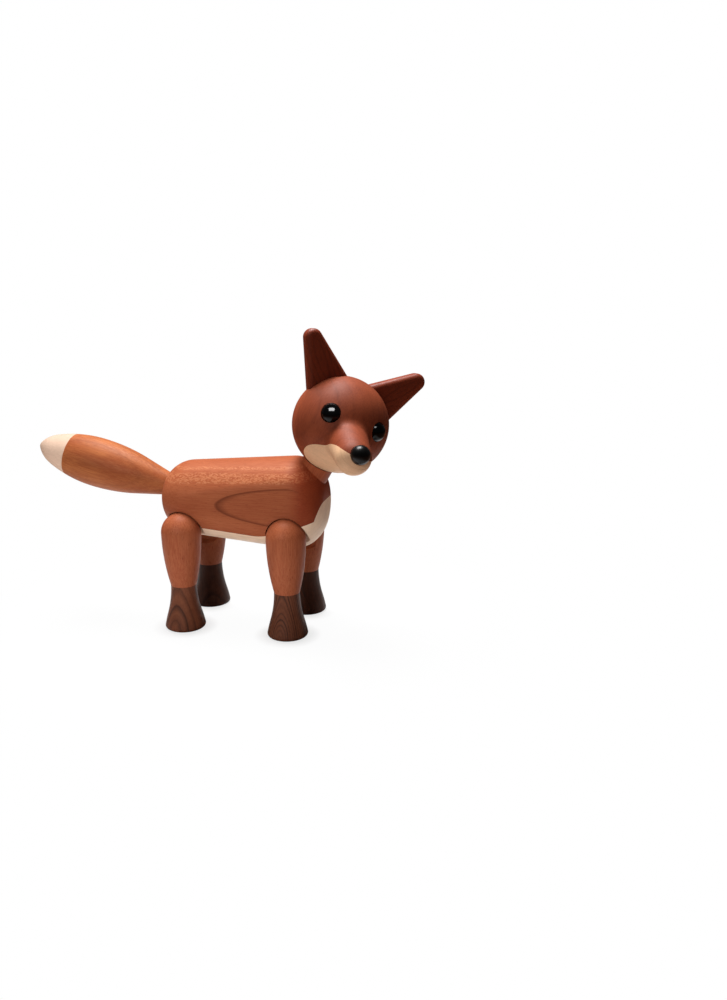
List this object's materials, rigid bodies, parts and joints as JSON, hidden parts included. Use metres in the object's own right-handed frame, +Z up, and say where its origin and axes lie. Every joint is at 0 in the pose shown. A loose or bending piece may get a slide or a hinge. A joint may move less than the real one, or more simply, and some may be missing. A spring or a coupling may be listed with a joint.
{
  "type": "jointed wooden fox figurine",
  "caption": "Standing fox of turned wood with a ball head that swivels on a leaning neck, hinged legs, a tail that twists, and pale belly, jaw and tail tip.",
  "frame": {"origin": "on the table, midway between the four feet", "axes": "X points the way the body faces, Y to the fox's left, Z up"},
  "size_m": [0.1932, 0.0699, 0.1451],
  "materials": {
    "red_brown_wood": "oiled, satin",
    "ear_wood": "oiled, satin",
    "pale_wood": "oiled, satin",
    "dark_wood": "oiled, satin",
    "dowel_wood": "plain",
    "black_bead": "gloss",
    "steel": "bright drawn",
    "bush_plastic": "plain",
    "felt": "pressed felt"
  },
  "bodies": {
    "body": {"body_block": "red_brown_wood", "belly_and_chest": "pale_wood", "belly_dowels": "dowel_wood", "neck": "red_brown_wood", "neck_pin": "steel", "hip_bushes": "bush_plastic", "hip_washers": "felt"},
    "head": {"head_ball": "red_brown_wood", "jaw": "pale_wood", "jaw_dowels": "dowel_wood", "nose": "black_bead", "right_eye": "black_bead", "left_eye": "black_bead", "right_ear": "ear_wood", "left_ear": "ear_wood", "ear_dowels": "dowel_wood", "head_bush": "bush_plastic"},
    "tail": {"tail": "red_brown_wood", "tail_tip": "pale_wood", "tail_dowel": "dowel_wood", "tail_tip_dowel": "dowel_wood"},
    "front_right_leg_unit": {"front_right_leg": "red_brown_wood", "front_right_foot": "dark_wood", "front_right_ankle_dowel": "dowel_wood", "front_right_hip_pin": "steel"},
    "front_left_leg_unit": {"front_left_leg": "red_brown_wood", "front_left_foot": "dark_wood", "front_left_ankle_dowel": "dowel_wood", "front_left_hip_pin": "steel"},
    "rear_right_leg_unit": {"rear_right_leg": "red_brown_wood", "rear_right_foot": "dark_wood", "rear_right_ankle_dowel": "dowel_wood", "rear_right_hip_pin": "steel"},
    "rear_left_leg_unit": {"rear_left_leg": "red_brown_wood", "rear_left_foot": "dark_wood", "rear_left_ankle_dowel": "dowel_wood", "rear_left_hip_pin": "steel"}
  },
  "joints": [
    {"name": "head_swivel", "type": "hinge", "parent": "body", "child": "head", "pos_m": [0.0489, 0, 0.1006], "axis": [0.5, 0, 0.866], "continuous": true},
    {"name": "front_right_hip", "type": "hinge", "parent": "body", "child": "front_right_leg_unit", "pos_m": [0.02625, -0.0173, 0.0485], "axis": [0, 1, 0], "range_deg": [-14, 14]},
    {"name": "front_left_hip", "type": "hinge", "parent": "body", "child": "front_left_leg_unit", "pos_m": [0.02625, 0.0173, 0.0485], "axis": [0, 1, 0], "range_deg": [-14, 14]},
    {"name": "rear_right_hip", "type": "hinge", "parent": "body", "child": "rear_right_leg_unit", "pos_m": [-0.02625, -0.0173, 0.0485], "axis": [0, 1, 0], "range_deg": [-14, 14]},
    {"name": "rear_left_hip", "type": "hinge", "parent": "body", "child": "rear_left_leg_unit", "pos_m": [-0.02625, 0.0173, 0.0485], "axis": [0, 1, 0], "range_deg": [-14, 14]},
    {"name": "tail_twist", "type": "hinge", "parent": "body", "child": "tail", "pos_m": [-0.03803, 0, 0.06727], "axis": [-0.9703, 0, 0.2419], "continuous": true}
  ]
}
